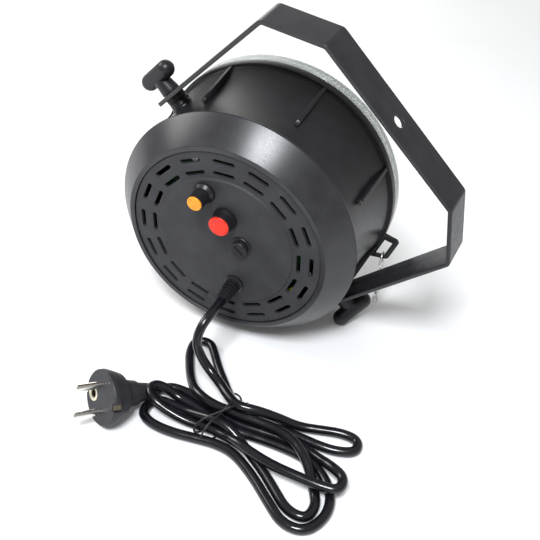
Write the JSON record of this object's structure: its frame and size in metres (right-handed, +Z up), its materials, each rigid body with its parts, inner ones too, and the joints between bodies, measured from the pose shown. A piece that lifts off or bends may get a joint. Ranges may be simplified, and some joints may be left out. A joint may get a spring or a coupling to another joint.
{
  "type": "par can light",
  "caption": "Short black LED par can stage light with vented rear panel, controls, clear front cover, tilting yoke, T-knobs, safety eye, tied mains lead and plug.",
  "frame": {"origin": "on the floor under the middle of the lamp's box, as it lies at rest on its ridge, front rim and lower tilt knob", "axes": "+Z up, +Y horizontal towards the lamp's front (the lamp axis rises 3.5 degrees from it), +X towards the side the yoke leans to"},
  "size_m": [0.2452, 0.3149, 0.2428],
  "materials": {
    "black_shell": "satin moulded",
    "panel_plastic": "fine leather grain",
    "yoke_paint": "satin powder coat",
    "knob_plastic": "satin moulded",
    "zinc_steel": "zinc plated",
    "insert_brass": "turned",
    "clear_plastic": "clear",
    "sheet_aluminium": "plain",
    "circuit_board": "solder mask",
    "white_board": "white solder mask",
    "led_body": "phosphor",
    "yellow_cap": "gloss",
    "red_cap": "gloss",
    "component_can": "sleeved",
    "iron_core": "varnished",
    "earth_green": "green and yellow sleeve",
    "cord_sheath": "glossy",
    "plug_plastic": "matte",
    "bright_contact": "nickel plated"
  },
  "bodies": {
    "lamp": {"barrel": "black_shell", "rear_bezel": "black_shell", "rear_panel": "panel_plastic", "fuse_holder": "knob_plastic", "strain_relief": "knob_plastic", "gland_nut": "knob_plastic", "tilt_washers": "zinc_steel", "fin_screws": "zinc_steel", "pillar_screws": "zinc_steel", "board_pillars": "zinc_steel", "earth_tag": "zinc_steel", "speed_pot_body": "zinc_steel", "sound_pot_body": "zinc_steel", "speed_pot_nut": "zinc_steel", "sound_pot_nut": "zinc_steel", "tilt_inserts": "insert_brass", "clear_cover": "clear_plastic", "led_lenses": "clear_plastic", "fuse_link": "clear_plastic", "heat_spreader": "sheet_aluminium", "driver_board": "circuit_board", "led_board": "white_board", "led_chips": "led_body", "capacitors": "component_can", "transformer": "iron_core", "earth_wire": "earth_green", "mains_lead": "cord_sheath", "lead_hank": "cord_sheath", "twist_tie": "cord_sheath", "plug_body": "plug_plastic", "plug_boot": "plug_plastic", "lens_plate": "plug_plastic", "plug_pins": "bright_contact", "plug_earth_contacts": "bright_contact"},
    "yoke": {"yoke": "yoke_paint"},
    "tilt_knob_left": {"tilt_knob_left": "knob_plastic", "tilt_stud_left": "zinc_steel"},
    "tilt_knob_right": {"tilt_knob_right": "knob_plastic", "tilt_stud_right": "zinc_steel"},
    "speed_knob": {"speed_knob": "knob_plastic", "speed_knob_cap": "yellow_cap", "speed_pot_shaft": "zinc_steel"},
    "sound_knob": {"sound_knob": "knob_plastic", "sound_knob_cap": "red_cap", "sound_pot_shaft": "zinc_steel"},
    "fuse_cap": {"fuse_cap": "knob_plastic"},
    "safety_chain": {"safety_chain": "zinc_steel"}
  },
  "joints": [
    {"name": "yoke_tilt", "type": "hinge", "parent": "lamp", "child": "yoke", "pos_m": [-0.02812, -0.02168, 0.09238], "axis": [0.7108, 0.0433, -0.7021], "range_deg": [-20, 81]},
    {"name": "tilt_knob_left_turn", "type": "hinge", "parent": "lamp", "child": "tilt_knob_left", "pos_m": [-0.09856, -0.02597, 0.16196], "axis": [-0.7108, -0.0433, 0.7021], "range_deg": [0, 360]},
    {"name": "tilt_knob_right_turn", "type": "hinge", "parent": "lamp", "child": "tilt_knob_right", "pos_m": [0.04232, -0.01739, 0.02281], "axis": [0.7108, 0.0433, -0.7021], "range_deg": [0, 360]},
    {"name": "speed_knob_turn", "type": "hinge", "parent": "lamp", "child": "speed_knob", "pos_m": [-0.04155, -0.08247, 0.12774], "axis": [0, -0.9981, -0.0615], "range_deg": [-140, 140]},
    {"name": "sound_knob_turn", "type": "hinge", "parent": "lamp", "child": "sound_knob", "pos_m": [-0.02668, -0.08143, 0.11081], "axis": [0, -0.9981, -0.0615], "range_deg": [-140, 140]},
    {"name": "fuse_cap_turn", "type": "hinge", "parent": "lamp", "child": "fuse_cap", "pos_m": [-0.01498, -0.08018, 0.09055], "axis": [0, -0.9981, -0.0615], "range_deg": [0, 60]},
    {"name": "safety_chain_swing", "type": "hinge", "parent": "lamp", "child": "safety_chain", "pos_m": [0.06389, 0.00854, 0.04977], "axis": [1, 0, 0], "range_deg": [-15, 60]}
  ]
}
